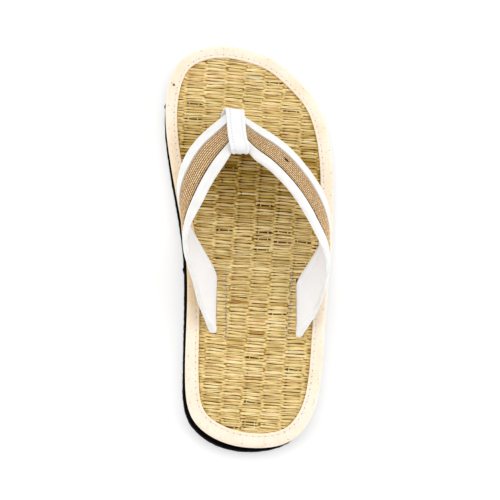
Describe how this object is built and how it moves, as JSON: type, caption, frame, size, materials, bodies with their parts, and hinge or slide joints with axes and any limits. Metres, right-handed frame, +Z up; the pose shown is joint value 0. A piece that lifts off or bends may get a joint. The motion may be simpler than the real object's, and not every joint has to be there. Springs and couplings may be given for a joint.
{
  "type": "hotel slipper",
  "caption": "Flat thong slipper with a woven straw footbed, cloth-bound edge, black foam-rubber outsole and a padded V-strap held by a toe loop",
  "frame": {"origin": "centre of the bounding box in plan, on the floor that the outsole stands on", "axes": "+Y points to the toe, +X to the lateral (outer) side of this right slipper, and +Z up"},
  "size_m": [0.1155, 0.278, 0.053],
  "materials": {
    "black_rubber": "matte foam rubber",
    "sedge_straw": "woven natural straw, satin",
    "cream_cloth": "matte bonded cloth",
    "white_cloth": "matte padded cloth",
    "jute_webbing": "coarse woven jute"
  },
  "bodies": {
    "root": {"outsole": "black_rubber", "insole": "sedge_straw", "insole_binding": "cream_cloth", "upper": "white_cloth", "jute_band_medial": "jute_webbing", "jute_band_lateral": "jute_webbing", "toe_loop": "white_cloth"}
  },
  "joints": []
}
